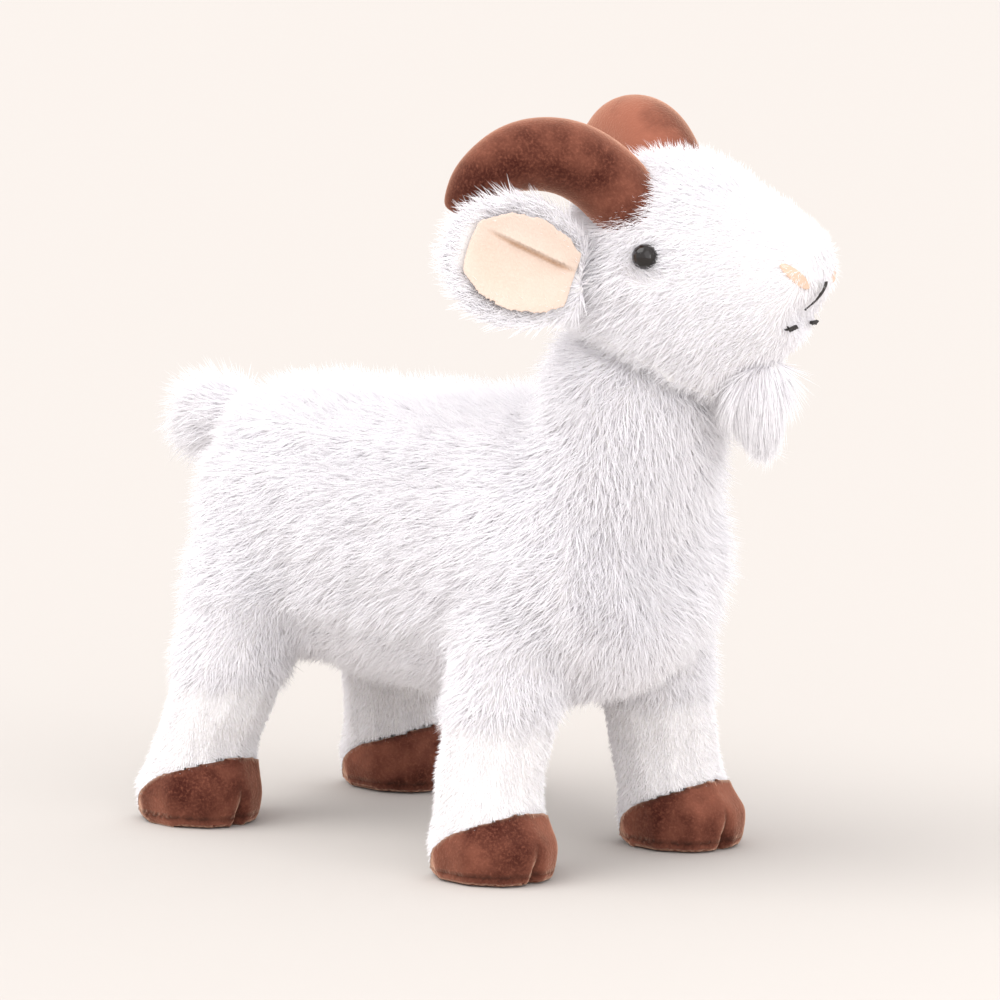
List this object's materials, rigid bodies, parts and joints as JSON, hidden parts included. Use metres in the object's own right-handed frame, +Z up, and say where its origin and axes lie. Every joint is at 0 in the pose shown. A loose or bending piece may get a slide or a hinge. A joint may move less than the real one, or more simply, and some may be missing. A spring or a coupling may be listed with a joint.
{
  "type": "plush goat",
  "caption": "Standing plush billy goat with a shaggy white coat, swept-back brown velour horns, cloven hooves, lined ears and a hanging beard.",
  "frame": {"origin": "on the ground under the middle of the toy's bounding box", "axes": "+X forward, the way the trunk faces; +Y to the goat's left; +Z up"},
  "size_m": [0.3808, 0.1796, 0.3266],
  "materials": {
    "long_pile": "matte",
    "short_pile": "matte",
    "brown_velour": "matte",
    "peach_velour": "matte",
    "fibre_fill": "matte",
    "dark_thread": "matte",
    "eye_black": "gloss",
    "washer_white": "satin"
  },
  "bodies": {
    "torso": {"torso_coat": "long_pile", "torso_stuffing": "fibre_fill", "thigh_coat_front_right": "long_pile", "leg_sleeve_front_right": "short_pile", "hoof_cap_front_right": "brown_velour", "hoof_sole_front_right": "brown_velour", "leg_stuffing_front_right": "fibre_fill", "thigh_coat_front_left": "long_pile", "leg_sleeve_front_left": "short_pile", "hoof_cap_front_left": "brown_velour", "hoof_sole_front_left": "brown_velour", "leg_stuffing_front_left": "fibre_fill", "thigh_coat_hind_right": "long_pile", "leg_sleeve_hind_right": "short_pile", "hoof_cap_hind_right": "brown_velour", "hoof_sole_hind_right": "brown_velour", "leg_stuffing_hind_right": "fibre_fill", "thigh_coat_hind_left": "long_pile", "leg_sleeve_hind_left": "short_pile", "hoof_cap_hind_left": "brown_velour", "hoof_sole_hind_left": "brown_velour", "leg_stuffing_hind_left": "fibre_fill"},
    "neck": {"neck_stuffing": "fibre_fill"},
    "head": {"head_coat": "long_pile", "head_stuffing": "fibre_fill", "eye_right": "eye_black", "eye_washer_right": "washer_white", "nostril_patch_right": "peach_velour", "horn_cover_right": "brown_velour", "horn_stuffing_right": "fibre_fill", "eye_left": "eye_black", "eye_washer_left": "washer_white", "nostril_patch_left": "peach_velour", "horn_cover_left": "brown_velour", "horn_stuffing_left": "fibre_fill", "mouth_thread_middle": "dark_thread", "mouth_thread_right": "dark_thread", "mouth_thread_left": "dark_thread"},
    "ear_right": {"ear_back_right": "long_pile", "ear_lining_right": "peach_velour"},
    "ear_left": {"ear_back_left": "long_pile", "ear_lining_left": "peach_velour"},
    "beard": {"beard_tuft": "long_pile"},
    "tail": {"tail_cover": "long_pile", "tail_stuffing": "fibre_fill"}
  },
  "joints": [
    {"name": "head_turn", "type": "hinge", "parent": "torso", "child": "neck", "pos_m": [0.09665, 0.00646, 0.204], "axis": [0, 0, 1], "range_deg": [-20, 20], "stiffness_Nm_per_rad": 1.5},
    {"name": "head_nod", "type": "hinge", "parent": "neck", "child": "head", "pos_m": [0.09665, 0.00646, 0.204], "axis": [-0.3173, 0.9483, 0], "range_deg": [-8, 10], "stiffness_Nm_per_rad": 3},
    {"name": "ear_fold_right", "type": "hinge", "parent": "head", "child": "ear_right", "pos_m": [0.10633, -0.03655, 0.257], "axis": [0.104, 0.344, 0.9332], "range_deg": [-15, 15], "stiffness_Nm_per_rad": 0.03},
    {"name": "ear_fold_left", "type": "hinge", "parent": "head", "child": "ear_left", "pos_m": [0.08031, 0.04122, 0.257], "axis": [0.2901, -0.2122, 0.9332], "range_deg": [-15, 15], "stiffness_Nm_per_rad": 0.03},
    {"name": "beard_swing", "type": "hinge", "parent": "head", "child": "beard", "pos_m": [0.15306, 0.02232, 0.215], "axis": [-0.3173, 0.9483, 0], "range_deg": [-25, 12]},
    {"name": "tail_wag", "type": "hinge", "parent": "torso", "child": "tail", "pos_m": [-0.13835, 0.00646, 0.167], "axis": [0, 0, 1], "range_deg": [-20, 20], "stiffness_Nm_per_rad": 0.08}
  ]
}
